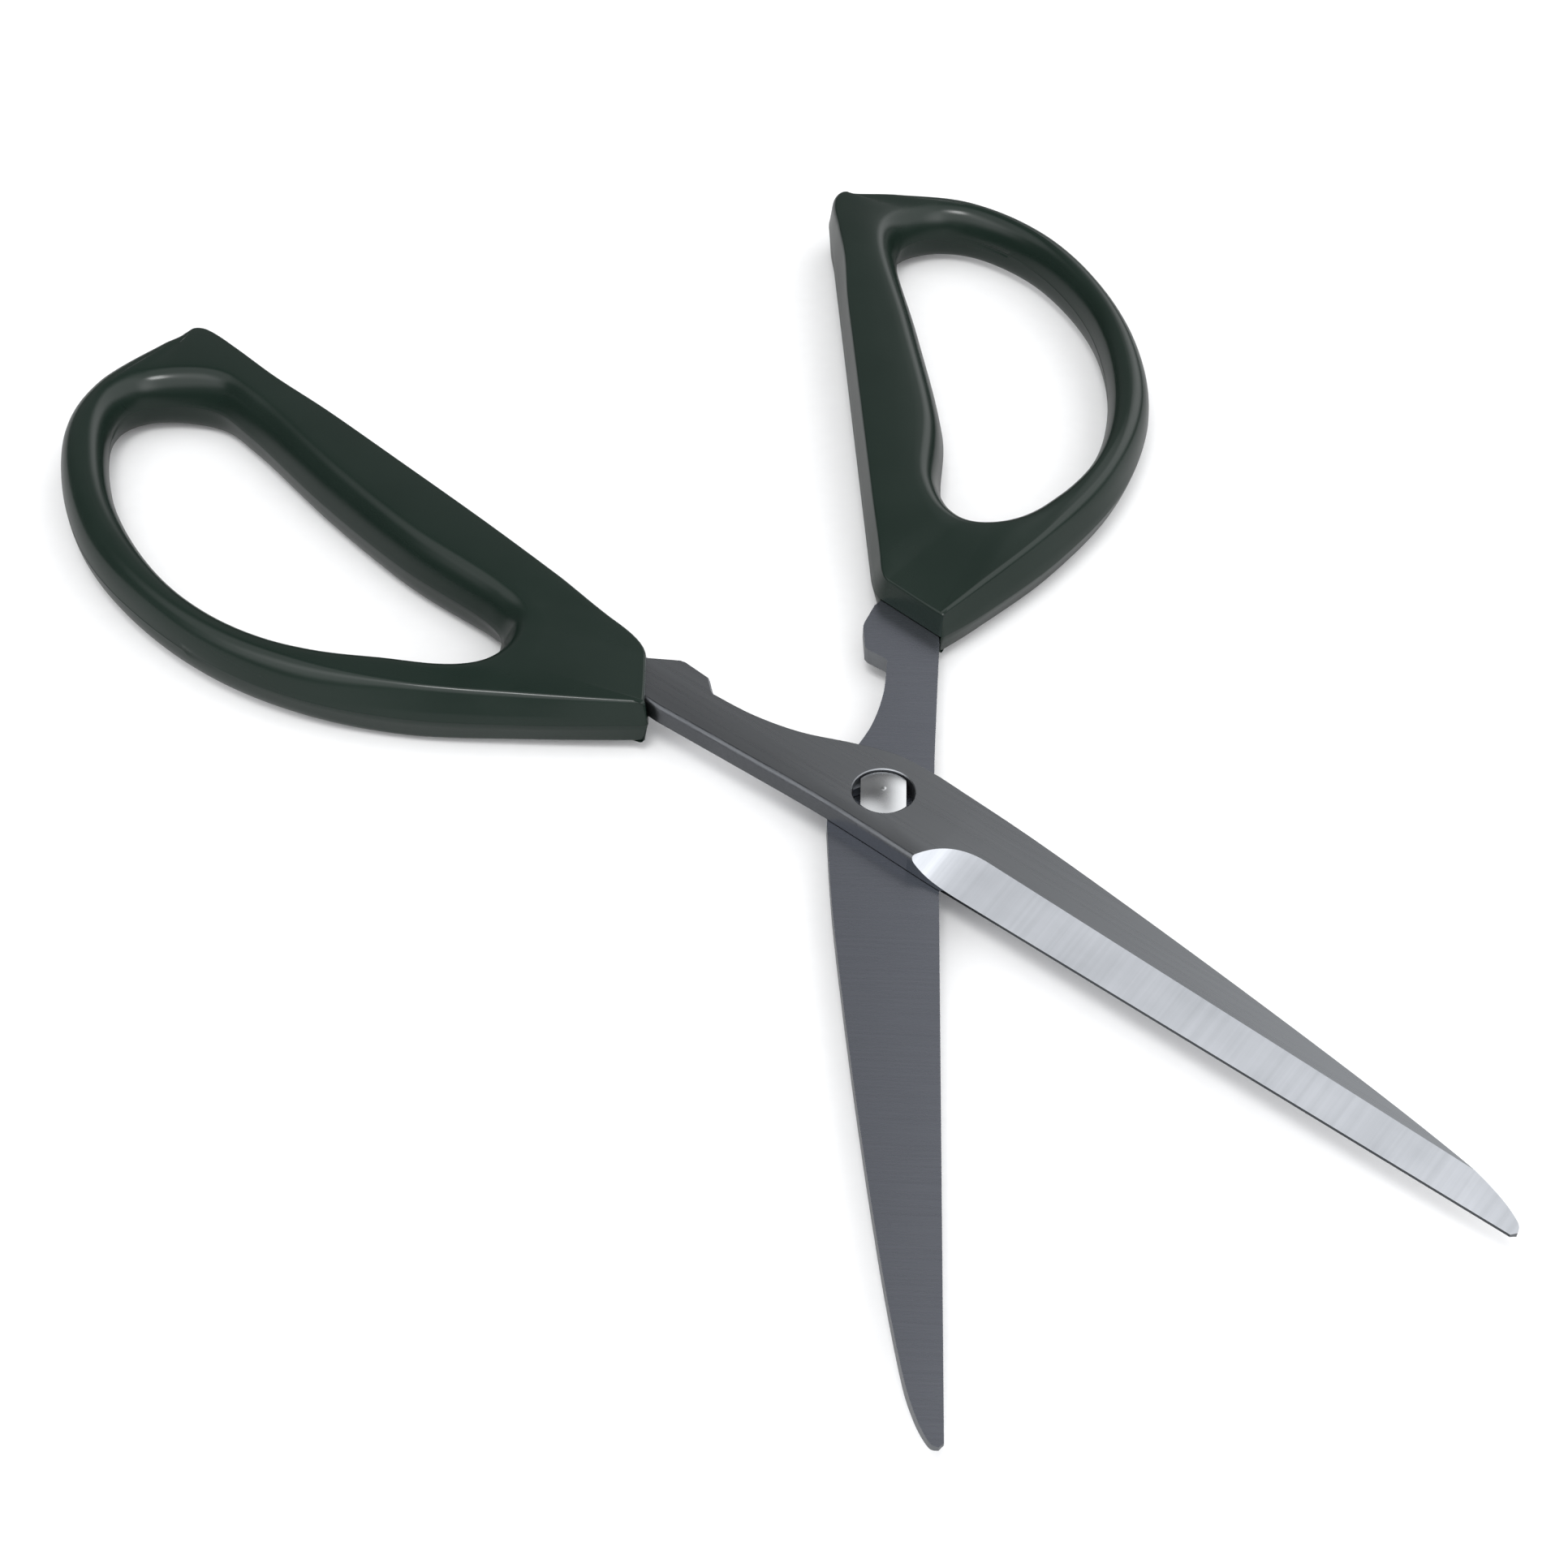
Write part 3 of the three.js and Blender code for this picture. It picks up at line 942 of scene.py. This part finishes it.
@dataclass
class Bow:
    """A moulded handle: a ring of sections round the opening, with a slot for the tang.

    Plain numbers are in mm.

    Attributes:
        name: name of the piece.
        node: the CAD node that it stands for.
        half: the half that it belongs to.
        turned_over: whether its blade lies outer face down.
        stations: places round the outside, from the nose's outer corner to the far end of its face.
        opening: points that the opening's parting line runs through.
        blade: the blade whose tang it holds.
        steps: samples from one station to the next.
        wall_samples: points up a side's wall.
        fillet_samples: points round its edge.
        top_samples: points across the top.
        opening_samples: points from one of the opening's points to the next.
        seam_high: how far the parting line stands out.
        seam_half: half its height.
        softest: the greatest softness of an edge.
        corner_reach: how far the nose's outer corner is rounded each way.
        crowding: how strongly samples crowd towards that corner along the nose.
        fillet_limit: the greatest width of an edge's fillet.
        half_high: the greatest height above the parting line.
        fit: clearance above and below the tang.
        edge_gap: clearance at the tang's lower side.
    """

    name: str
    node: str
    half: Half
    turned_over: bool
    stations: list
    opening: list
    blade: Blade
    steps: int = 18
    wall_samples: int = 4
    fillet_samples: int = 12
    top_samples: int = 6
    opening_samples: int = 60
    seam_high: float = 0.045
    seam_half: float = 0.11
    softest: float = 0.96
    corner_reach: float = 0.6
    crowding: float = 1.8
    fillet_limit: float = 3.4
    half_high: float = 5.99
    fit: float = 0.12 * MM
    edge_gap: float = 0.35 * MM

    def outer_curve(self) -> np.ndarray:
        """Draws the parting line of the outside, with the same steps from station to station.

        Returns:
            The samples all the way round.
        """
        count = len(self.stations)
        out = []
        for i, station in enumerate(self.stations):
            after = self.stations[(i + 1) % count]
            a, b = np.array(station.outer), np.array(after.outer)
            held_back = self.stations[i - 1].run is not Run.CURVE or i == 0
            held_on = after.run is not Run.CURVE
            before = a if held_back else np.array(self.stations[i - 1].outer)
            beyond = b if held_on else np.array(self.stations[(i + 2) % count].outer)
            for k in range(self.steps):
                t = k / self.steps
                if station.run is Run.CURVE:
                    out.append(blend_four(before, a, b, beyond, t))
                elif station.run is Run.LINE:
                    out.append(a + (b - a) * (1 - (1 - t) ** self.crowding if i == count - 1 else t))
                else:
                    out.append((1 - t) ** 2 * a + 2 * t * (1 - t) * np.array(station.bend) + t * t * b)
        return soften(np.array(out), 0, self.corner_reach)

    def inner_curve(self) -> np.ndarray:
        """Draws the parting line of the opening, step by step with the outside.

        Returns:
            The samples all the way round.
        """
        fine = self.opening_samples
        ring = ring_spline(np.array(self.opening), fine)
        places = [station.faces for station in self.stations]
        turns = round((places[-1] - places[0]) / len(self.opening))
        lap = turns * len(self.opening)
        padded = [places[-1] - lap, *places, places[0] + lap, places[1] + lap]
        at = np.concatenate([blend_four(*np.array(padded[i:i + 4]), np.arange(self.steps) / self.steps)
                             for i in range(len(places))])
        index = (at * fine) % len(ring)
        low = np.floor(index).astype(int)
        part = (index - low)[:, None]
        return ring[low] * (1 - part) + ring[(low + 1) % len(ring)] * part

    def side(self, high: float, lean: float, soft: float, room: float) -> list:
        """Draws one side of a section, from the parting line to the top.

        Args:
            high: height of the top.
            lean: how far in the wall leans at the top.
            soft: how much of the side the fillet takes.
            room: width that the fillet may take up on the top.

        Returns:
            Pairs of distance in from the outline and height.
        """
        knee = np.array([lean, high])
        start = knee * (1 - soft)
        end = knee + np.array([soft * room, 0.0])
        points = [np.array([0.0, 0.0]), np.array([self.seam_high, self.seam_half])]
        base = np.array([self.seam_high, self.seam_half * 1.6])
        points += [base + (start - base) * t for t in np.linspace(0, 1, self.wall_samples)[:-1]]
        points += [(1 - t) ** 2 * start + 2 * t * (1 - t) * knee + t * t * end
                   for t in np.linspace(0, 1, self.fillet_samples)]
        return points

    def grid(self) -> np.ndarray:
        """Sweeps the sections round the bow.

        Returns:
            The surface's points in metres, round the bow and then round the section.
        """
        outer, inner = self.outer_curve(), self.inner_curve()
        rows = ring_spline(np.array([st.section.row() for st in self.stations]), self.steps)
        outer_in, inner_in = self.inward(outer), -self.inward(inner)
        width = np.linalg.norm(outer - inner, axis=1)
        rings = []
        for k, (ho, lo, so, hi, li, si, crown) in enumerate(rows):
            room = min(self.fillet_limit, 0.5 * (width[k] - lo - li) * 0.98)
            out_side = self.side(ho, lo, min(so, self.softest), room)
            in_side = self.side(hi, li, min(si, self.softest), room)
            near = [(*(outer[k] + outer_in[k] * d), z) for d, z in out_side]
            far = [(*(inner[k] + inner_in[k] * d), z) for d, z in in_side][::-1]
            a, b = np.array(near[-1]), np.array(far[0])
            top = [tuple(a + (b - a) * t) for t in np.linspace(0, 1, self.top_samples + 2)[1:-1]]
            over = np.array(near + top + far)
            across = np.linalg.norm(over[:, :2] - over[0, :2], axis=1) / width[k]
            over[:, 2] -= crown * (2 * across - 1) ** 2 * np.clip(over[:, 2] / ho, 0, 1)
            over[:, 2] = np.minimum(over[:, 2], self.half_high)
            under = over[1:-1][::-1] * [1, 1, -1]
            rings.append(np.vstack([over, under]))
        return np.array(rings) * MM

    @staticmethod
    def inward(loop: np.ndarray) -> np.ndarray:
        """Finds the directions to the inside of a closed loop.

        Args:
            loop: samples all the way round.

        Returns:
            A unit normal at each sample.
        """
        run = np.roll(loop, -1, axis=0) - np.roll(loop, 1, axis=0)
        run /= np.linalg.norm(run, axis=1)[:, None]
        x, y = loop[:, 0], loop[:, 1]
        area = np.sum(x * np.roll(y, -1) - y * np.roll(x, -1))
        normal = np.column_stack([-run[:, 1], run[:, 0]])
        return normal if area > 0 else -normal

    def tang_tool(self) -> bpy.types.Object:
        """Makes the room for the tang inside the moulding, in the blade's frame.

        Returns:
            The tool.
        """
        fit, gap = self.fit / MM, self.edge_gap / MM
        end = self.blade.tongue_end / MM
        high, drop = self.blade.tab_high / MM, self.blade.tab_slope / MM
        tab = [(-30, high + fit), (-38.2, high - 0.1 + fit), (-42 - fit, high - drop + fit)]
        tongue = [(-45 - fit, -0.9 + fit), (end - fit, 0.9 + fit), (end - fit, -4.6 - fit)]
        loop = np.array([(-30, -8.0 - gap), *tab, *tongue, (-50, -7.4 - gap)])[::-1] * MM
        face = self.blade.shear_gap
        return stack("tang_tool", [(loop, face - self.fit), (loop, face + self.blade.stock + self.fit)])

    def build(self, finishes: dict[Surface, bpy.types.Material]) -> bpy.types.Object:
        """Builds the handle, dresses it and hangs it on its half.

        Args:
            finishes: materials by the surface that they dress.

        Returns:
            The handle.
        """
        bm = bmesh.new()
        verts = [[bm.verts.new(p) for p in ring] for ring in self.grid()]
        for ring, after in zip(verts, verts[1:] + verts[:1]):
            for j in range(len(ring)):
                k = (j + 1) % len(ring)
                bm.faces.new((ring[j], after[j], after[k], ring[k]))
        handle = new_object(self.name, bm)
        tool = self.tang_tool()
        if self.turned_over:
            tool.data.transform(Matrix.Rotation(math.pi, 4, "X"))
        combine(handle, tool)
        handle.data.materials.append(finishes[Surface.MOULDING])
        shade(handle, 50)
        self.half.place(handle)
        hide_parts(self.node)
        LOG.info("%s: %d faces", self.name, len(handle.data.polygons))
        return handle


FINGER_BAR = ((-142.6, 9.35), (-50, 1.75))
FINGER_OPENING = [(-66.5, -8.6), (-84, -8.2), (-103.4, -5.6), (-123.4, -1.6), (-133, -1.4),
                  (-140.6, -8.4), (-137.6, -17), (-122.8, -28.4), (-102.6, -35.4), (-84.3, -34.2),
                  (-67.6, -25.4), (-60.2, -18.0), (-60.8, -11.6)]
FINGER_STATIONS = [
    Station((-34.4, -9.4), 11.3, NOSE_CORNER),
    Station((-46.8, -20.5), 10.8, NOSE_WALL),
    Station((-61.2, -31.6), 10.0, WEB_WALL),
    Station((-76.6, -38.9), 9.4, WEB_FADE),
    Station((-93.7, -41.6), 8.55, BOW),
    Station((-113.2, -39.5), 7.5, BOW),
    Station((-128.4, -33.3), 6.75, BOW),
    Station((-142.0, -22.6), 6.15, BOW),
    Station((-148.1, -11.0), 5.5, BOW_HEEL),
    Station((-148.0, 2.0), 5.0, HEEL, Run.LINE),
    Station((-147.6, 6.0), 4.75, HEEL, Run.CORNER, (-147, 9.7)),
    Station(FINGER_BAR[0], 4.4, HEEL_END, Run.LINE),
    Station(on_line(*FINGER_BAR, 0.07), 4.0, BAR_HEEL, Run.LINE),
    Station(on_line(*FINGER_BAR, 0.18), 3.3, BAR_RISE, Run.LINE),
    Station(on_line(*FINGER_BAR, 0.31), 2.55, BAR, Run.LINE),
    Station(on_line(*FINGER_BAR, 0.48), 1.75, BAR, Run.LINE),
    Station(on_line(*FINGER_BAR, 0.70), 0.75, BAR_MIDDLE, Run.LINE),
    Station(on_line(*FINGER_BAR, 0.88), 0.05, BAR_NOSE, Run.LINE),
    Station(FINGER_BAR[1], -0.45, NOSE_HEEL, Run.CORNER, (-44.4, 1.4)),
    Station((-41.8, -0.9), -0.9, NOSE_FACE, Run.LINE),
]
THUMB_BAR = ((-138.5, -9.8), (-48, -2))
THUMB_OPENING = [(-66.4, 8.6), (-59.6, 13.4), (-62.4, 22.4), (-74, 31), (-92.4, 34.8), (-112, 32.6),
                 (-128, 24.6), (-136.4, 13.4), (-135, 4.4), (-127.4, 1.6), (-105.2, 5.4), (-82.5, 8.8)]
THUMB_STATIONS = [
    Station((-35.2, 8.3), 1.25, NOSE_CORNER),
    Station((-41.6, 15.2), 1.6, NOSE_WALL),
    Station((-54.4, 26.3), 2.3, WEB_WALL),
    Station((-70.0, 35.8), 2.95, WEB_FADE),
    Station((-88.0, 40.9), 3.75, BOW),
    Station((-105.2, 40.1), 4.6, BOW),
    Station((-121.5, 34.6), 5.4, BOW),
    Station((-134.6, 26.0), 6.1, BOW),
    Station((-142.9, 14.6), 6.85, BOW_HEEL),
    Station((-144.3, 2.0), 7.5, HEEL),
    Station((-144.3, -6.3), 7.95, HEEL, Run.CORNER, (-144.3, -10.0)),
    Station(THUMB_BAR[0], 8.35, HEEL_END, Run.LINE),
    Station(on_line(*THUMB_BAR, 0.07), 8.75, BAR_HEEL, Run.LINE),
    Station(on_line(*THUMB_BAR, 0.17), 9.2, BAR_RISE, Run.LINE),
    Station(on_line(*THUMB_BAR, 0.30), 9.75, BAR, Run.LINE),
    Station(on_line(*THUMB_BAR, 0.45), 10.35, BAR, Run.LINE),
    Station(on_line(*THUMB_BAR, 0.65), 11.1, BAR_MIDDLE, Run.LINE),
    Station(on_line(*THUMB_BAR, 0.85), 12.05, BAR_NOSE, Run.LINE),
    Station(THUMB_BAR[1], 12.6, NOSE_HEEL, Run.CORNER, (-43.9, -1.7)),
    Station((-42.7, 0.1), 12.9, NOSE_FACE, Run.LINE),
]


# ---- pivot ------------------------------------------------------------------------------------
@dataclass
class Pivot:
    """The turned stud and the washer under its peened tail.

    Attributes:
        stock: thickness of each blade.
        shear_gap: half the clearance between the blades.
        ledge: steel under the front blade's counterbore.
        head: radius of the head.
        rim_drop: how far the head's rim lies below the front blade's outer face.
        dome_high: how far the head rises from its rim to its middle.
        nib: radius of the nib that the lathe leaves in the middle.
        half_flats: half the distance across the flats.
        neck: radius of the neck in the front blade.
        shank: radius of the shank in the rear blade.
        washer_outer: outer radius of the washer.
        washer_inner: inner radius of the washer.
        washer_high: thickness of the washer.
        peen: radius of the peened tail.
        peen_high: height of the peened tail.
    """

    stock: float = 2.8 * MM
    shear_gap: float = 0.05 * MM
    ledge: float = 1.4 * MM
    head: float = 4.15 * MM
    rim_drop: float = 0.35 * MM
    dome_high: float = 0.8 * MM
    nib: float = 0.4 * MM
    half_flats: float = 3.1 * MM
    neck: float = 3.0 * MM
    shank: float = 2.2 * MM
    washer_outer: float = 5.0 * MM
    washer_inner: float = 2.5 * MM
    washer_high: float = 0.6 * MM
    peen: float = 3.6 * MM
    peen_high: float = 0.8 * MM

    @property
    def back(self) -> float:
        """Height of the rear blade's outer face, below the shear plane."""
        return -self.stock - self.shear_gap

    @property
    def head_base(self) -> float:
        """Height of the underside of the stud's head, just above the front blade's ledge."""
        return self.shear_gap + self.ledge + 0.1 * MM

    def stud_profile(self) -> list:
        """Draws the stud's profile, from the peened tail up to the head's centre.

        Returns:
            Pairs of radius and height.
        """
        tail = self.back - 0.2 * MM - self.washer_high
        base, rim = self.head_base, self.stock + self.shear_gap - self.rim_drop
        top = rim + self.dome_high
        edge = 0.14 * MM
        peen = [(self.peen * math.sin(a), tail - self.peen_high * math.cos(a))
                for a in np.linspace(0, math.pi / 2 * 0.96, 12)]
        shank = [(self.peen, tail), (self.shank, tail), (self.shank, self.shear_gap)]
        neck = [(self.neck, self.shear_gap), (self.neck, base)]
        side = [(self.head - 0.1 * MM, base), (self.head, base + 0.1 * MM), (self.head, rim - edge)]
        dome = [(r, top - self.dome_high * (r / self.head) ** 2)
                for r in np.linspace(self.head - edge, self.nib, 14)]
        nib = [(self.nib - 0.04 * MM, top + 0.07 * MM), (0.2 * MM, top + 0.11 * MM), (0, top + 0.12 * MM)]
        return [*peen, *shank, *neck, *side, *dome, *nib]

    def stud(self) -> bpy.types.Object:
        """Turns the stud and cuts the two flats across its head.

        Returns:
            The stud, in the rear half's frame.
        """
        base, wide = self.head_base, 9 * MM
        stud = lathe("stud", self.stud_profile(), 128)
        kept = box_tool((-wide, -self.half_flats, base - 0.02 * MM), (wide, self.half_flats, wide))
        combine(kept, round_tool(wide, -wide, base - 0.01 * MM, 32), "UNION")
        combine(stud, kept, "INTERSECT")
        return stud

    def washer(self) -> bpy.types.Object:
        """Turns the washer, with its edges broken.

        Returns:
            The washer, in the rear half's frame.
        """
        top = self.back - 0.1 * MM
        low, edge = top - self.washer_high, 0.08 * MM
        r0, r1 = self.washer_inner, self.washer_outer
        profile = [(r0 + edge, low), (r1 - edge, low), (r1, low + edge), (r1, top - edge), (r1 - edge, top),
                   (r0 + edge, top), (r0, top - edge), (r0, low + edge)]
        return lathe("washer", profile, 96, closed=True)

    def build(self, finishes: dict[Surface, bpy.types.Material]) -> None:
        """Builds both pieces, dresses them and hangs them on the rear half.

        Args:
            finishes: materials by the surface that they dress.
        """
        for piece, node in ((self.stud(), "pivot_stud"), (self.washer(), "pivot_washer")):
            piece.data.materials.append(finishes[Surface.TURNED])
            shade(piece, 30)
            Half.REAR.place(piece)
            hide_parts(node)
            LOG.info("%s: %d faces", piece.name, len(piece.data.polygons))


# ---- studio -----------------------------------------------------------------------------------
@dataclass(frozen=True)
class Glow:
    """A soft bright patch of the room round one direction.

    Attributes:
        axis: direction of its middle.
        start: cosine of the angle from the middle at which it starts.
        full: cosine of the angle at which it is at its brightest.
        level: its brightness.
    """

    axis: tuple
    start: float
    full: float
    level: float

    def build(self, tree: bpy.types.NodeTree, where: bpy.types.NodeSocket) -> bpy.types.NodeSocket:
        """Lays out its brightness.

        Args:
            tree: the world's nodes.
            where: direction that a ray looks in.

        Returns:
            The brightness in that direction.
        """
        dot = tree.nodes.new("ShaderNodeVectorMath")
        dot.operation = "DOT_PRODUCT"
        dot.inputs[1].default_value = Vector(self.axis).normalized()
        tree.links.new(where, dot.inputs[0])
        step = tree.nodes.new("ShaderNodeMapRange")
        step.interpolation_type = "SMOOTHSTEP"
        for name, value in (("From Min", self.start), ("From Max", self.full), ("To Max", self.level)):
            step.inputs[name].default_value = value
        tree.links.new(dot.outputs["Value"], step.inputs["Value"])
        return step.outputs["Result"]


@dataclass
class Studio:
    """Plain pale floor, soft light all round and the camera.

    Attributes:
        distance: from the camera to the point that it looks at.
        elevation: angle of the camera above the floor, in degrees.
        roll: how far the camera leans to its side, in degrees.
        lens: focal length in mm.
        floor_half: half the side of the floor.
        aim_from_pivot: the point that the camera looks at, from the pivot.
        room: brightness of the room where there is no glow.
        tint: colour of the room's light.
        glows: the room's bright patches.
        horizon: fades the glows out towards the floor.
        lamp_from_pivot: place of the overhead lamp, from the pivot.
        lamp_side: side of the square lamp.
        lamp_power: its power in watts.
    """

    distance: float = 0.4448
    elevation: float = 43.65
    roll: float = 2.32
    lens: float = 74.53
    floor_half: float = 25.0
    aim_from_pivot: tuple = (-13.52 * MM, 3.52 * MM, 0.0)
    room: float = 0.08
    tint: tuple = (0.985, 0.99, 1.0, 1.0)
    glows: tuple = (Glow((-0.40, -0.12, 0.91), 0.77, 0.92, 0.95), Glow((1, 0, 0), 0.0, 0.38, 1.4),
                    Glow((0, 1, 0), 0.55, 0.80, 0.16), Glow((-0.3, -1, 0.3), 0.45, 0.8, 1.5))
    horizon: Glow = Glow((0, 0, 1), 0.05, 0.40, 1.0)
    lamp_from_pivot: tuple = (-0.1, -0.42, 0.9)
    lamp_side: float = 0.26
    lamp_power: float = 3.0

    def floor(self) -> None:
        """Lays the floor under the object's lowest face."""
        bm = bmesh.new()
        bmesh.ops.create_grid(bm, x_segments=8, y_segments=8, size=self.floor_half)
        floor = new_object("floor", bm)
        keep_own_frame(floor)
        floor.location.z = cad_bounds[0][2]
        floor.data.materials.append(FloorFinish("pale_board").build())

    def world(self) -> None:
        """Lights the scene with a soft room that has a few bright patches."""
        world = bpy.data.worlds.new("soft_room")
        bpy.context.scene.world = world
        world.use_nodes = True
        tree = world.node_tree
        tree.nodes.clear()
        where = tree.nodes.new("ShaderNodeTexCoord").outputs["Generated"]
        total = None
        for glow in self.glows:
            part = glow.build(tree, where)
            total = part if total is None else join(tree, "ADD", total, part)
        lit = join(tree, "MULTIPLY", total, self.horizon.build(tree, where))
        total = join(tree, "ADD", lit, self.room)
        back = tree.nodes.new("ShaderNodeBackground")
        back.inputs["Color"].default_value = self.tint
        tree.links.new(total, back.inputs["Strength"])
        out = tree.nodes.new("ShaderNodeOutputWorld")
        tree.links.new(back.outputs[0], out.inputs[0])

    def lamp(self) -> None:
        """Hangs the square overhead lamp, which looks at the pivot."""
        data = bpy.data.lights.new("overhead", "AREA")
        data.size = self.lamp_side
        data.energy = self.lamp_power
        lamp = bpy.data.objects.new("overhead", data)
        bpy.context.scene.collection.objects.link(lamp)
        pivot = Vector(frame["joints"][0]["pos_m"])
        lamp.location = pivot + Vector(self.lamp_from_pivot)
        lamp.rotation_euler = (pivot - lamp.location).to_track_quat("-Z", "Y").to_euler()

    def camera(self) -> None:
        """Stands the camera above the object on its -Y side, looking along +Y and down."""
        data = bpy.data.cameras.new("camera")
        data.lens = self.lens
        data.clip_start = 0.01
        camera = bpy.data.objects.new("camera", data)
        bpy.context.scene.collection.objects.link(camera)
        e, r = math.radians(self.elevation), math.radians(self.roll)
        side, back = Vector((1, 0, 0)), Vector((0, -math.cos(e), math.sin(e)))
        up = Vector((0, math.sin(e), math.cos(e)))
        right = side * math.cos(r) + up * math.sin(r)
        head = up * math.cos(r) - side * math.sin(r)
        aim = Vector(frame["joints"][0]["pos_m"]) + Vector(self.aim_from_pivot)
        matrix = Matrix((right, head, back)).transposed().to_4x4()
        matrix.translation = aim + back * self.distance
        camera.matrix_world = matrix
        bpy.context.scene.camera = camera

    def build(self) -> None:
        """Sets up the floor, the light and the camera."""
        self.floor()
        self.world()
        self.lamp()
        self.camera()
        bpy.context.scene.view_settings.view_transform = "Standard"


# ---- the object -------------------------------------------------------------------------------
def build_finishes() -> dict[Surface, bpy.types.Material]:
    """Makes every finish of the object.

    Returns:
        The materials by the surface that they dress.
    """
    fine = 0.00006 * MM
    made = {
        Surface.FACE: SteelFinish("satin_face", (0.312, 0.324, 0.340), (0.332, 0.344, 0.360),
                                  (0.26, 0.30), Grain.ALONG, mark_depth=fine),
        Surface.RIDE: SteelFinish("ground_ride", (0.303, 0.319, 0.364), (0.319, 0.335, 0.381),
                                  (0.26, 0.29), Grain.ACROSS, mark_depth=fine),
        Surface.GRIND: SteelFinish("ground_bevel", (0.47, 0.49, 0.52), (0.61, 0.63, 0.67),
                                   (0.27, 0.34), Grain.ACROSS, streaks=1000.0),
        Surface.LAND: SteelFinish("honed_land", (0.10, 0.11, 0.12), (0.14, 0.15, 0.16),
                                  (0.20, 0.28), Grain.ALONG),
        Surface.WALL: SteelFinish("stamped_wall", (0.24, 0.25, 0.265), (0.29, 0.30, 0.315),
                                  (0.30, 0.40), Grain.NONE),
        # darker steel on the tang's lower side: painted shade for the wall in shadow
        Surface.SHADED_TANG_SIDE: SteelFinish("tang_side_painted_shade", (0.14, 0.147, 0.157), (0.18, 0.187, 0.199),
                                       (0.30, 0.40), Grain.NONE),
        Surface.TURNED: TurnedFinish("turned_steel"),
        Surface.MOULDING: MouldedFinish("green_moulding"),
    }
    return {surface: finish.build() for surface, finish in made.items()}


def main() -> None:
    """Builds the shears and the studio round them."""
    finishes = build_finishes()
    front = FrontBlade("front_blade_steel", "front_blade", Half.FRONT, False)
    rear = Blade("rear_blade_steel", "rear_blade", Half.REAR, True)
    finger = Bow("finger_bow", "finger_handle", Half.FRONT, False, FINGER_STATIONS, FINGER_OPENING, front)
    thumb = Bow("thumb_bow", "thumb_handle", Half.REAR, True, THUMB_STATIONS, THUMB_OPENING, rear)
    for sub_assembly in (front, rear, finger, thumb, Pivot()):
        sub_assembly.build(finishes)
    Studio().build()


if __name__ == "__main__":
    logging.basicConfig(level=logging.INFO, format="%(name)s: %(message)s")
    main()
